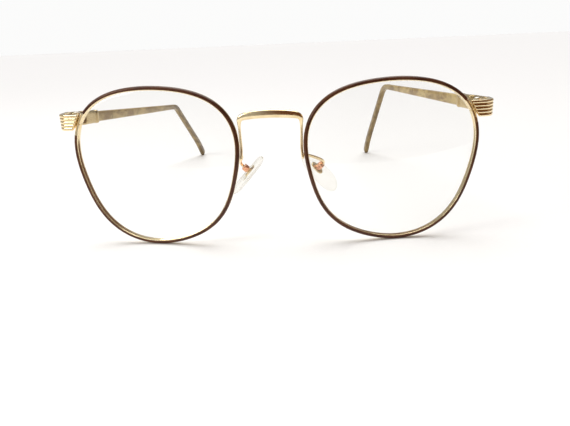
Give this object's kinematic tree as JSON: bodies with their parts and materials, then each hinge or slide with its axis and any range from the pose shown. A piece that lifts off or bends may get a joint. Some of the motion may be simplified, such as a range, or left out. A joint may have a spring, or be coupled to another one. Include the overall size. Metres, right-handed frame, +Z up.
{
  "type": "eyeglasses",
  "caption": "Full rim metal eyeglasses with clear lenses, ribbed end pieces, folding temples with plastic sleeves, a saddle bridge and rocking nose pads.",
  "frame": {"origin": "on the surface that the glasses stand on, under the middle of their bounding box", "axes": "+X towards the wearer's left, +Y backwards along the temples, +Z up; the glasses stand open on the bottoms of the rims and the temple tips"},
  "size_m": [0.1314, 0.1451, 0.0491],
  "materials": {
    "rim_enamel": "brown enamel over gold plate, glossy",
    "gold": "pale gold plate, polished",
    "pad_fitting": "rose gold, satin",
    "screw_steel": "bright steel",
    "core_steel": "drawn wire",
    "tortoise": "marbled brown acetate, polished",
    "lens": "clear, polished",
    "clear_pad": "clear, polished"
  },
  "bodies": {
    "front": {"bridge": "gold", "closing_block_lower_left": "gold", "closing_block_lower_right": "gold", "closing_block_upper_left": "gold", "closing_block_upper_right": "gold", "closing_screw_left": "screw_steel", "closing_screw_right": "screw_steel", "end_piece_left": "gold", "end_piece_right": "gold", "eyewire_left": "rim_enamel", "eyewire_right": "rim_enamel", "front_hinge_left": "gold", "front_hinge_right": "gold", "hinge_screw_left": "screw_steel", "hinge_screw_right": "screw_steel", "lens_left": "lens", "lens_right": "lens", "pad_arm_left": "gold", "pad_arm_right": "gold", "pad_box_left": "pad_fitting", "pad_box_right": "pad_fitting", "pad_screw_left": "pad_fitting", "pad_screw_right": "pad_fitting"},
    "temple_left": {"temple_collar_left": "gold", "temple_core_left": "core_steel", "temple_hinge_left": "gold", "temple_sleeve_left": "tortoise"},
    "temple_right": {"temple_collar_right": "gold", "temple_core_right": "core_steel", "temple_hinge_right": "gold", "temple_sleeve_right": "tortoise"},
    "pad_left": {"nose_pad_left": "clear_pad", "pad_insert_left": "gold"},
    "pad_right": {"nose_pad_right": "clear_pad", "pad_insert_right": "gold"}
  },
  "joints": [
    {"name": "temple_left_fold", "type": "hinge", "parent": "front", "child": "temple_left", "pos_m": [0.0622, -0.05776, 0.0389], "axis": [0, 0.022, 0.9998], "range_deg": [-11.6, 80]},
    {"name": "temple_right_fold", "type": "hinge", "parent": "front", "child": "temple_right", "pos_m": [-0.0622, -0.05776, 0.0389], "axis": [0, -0.0847, -0.9964], "range_deg": [-6.3, 82.1]},
    {"name": "pad_left_rock", "type": "hinge", "parent": "front", "child": "pad_left", "pos_m": [0.01398, -0.06081, 0.02203], "axis": [0.3141, 0.9031, 0.2929], "range_deg": [-12, 12]},
    {"name": "pad_right_rock", "type": "hinge", "parent": "front", "child": "pad_right", "pos_m": [-0.009, -0.06022, 0.02174], "axis": [0.0648, -0.9955, -0.0694], "range_deg": [-12, 12]}
  ]
}
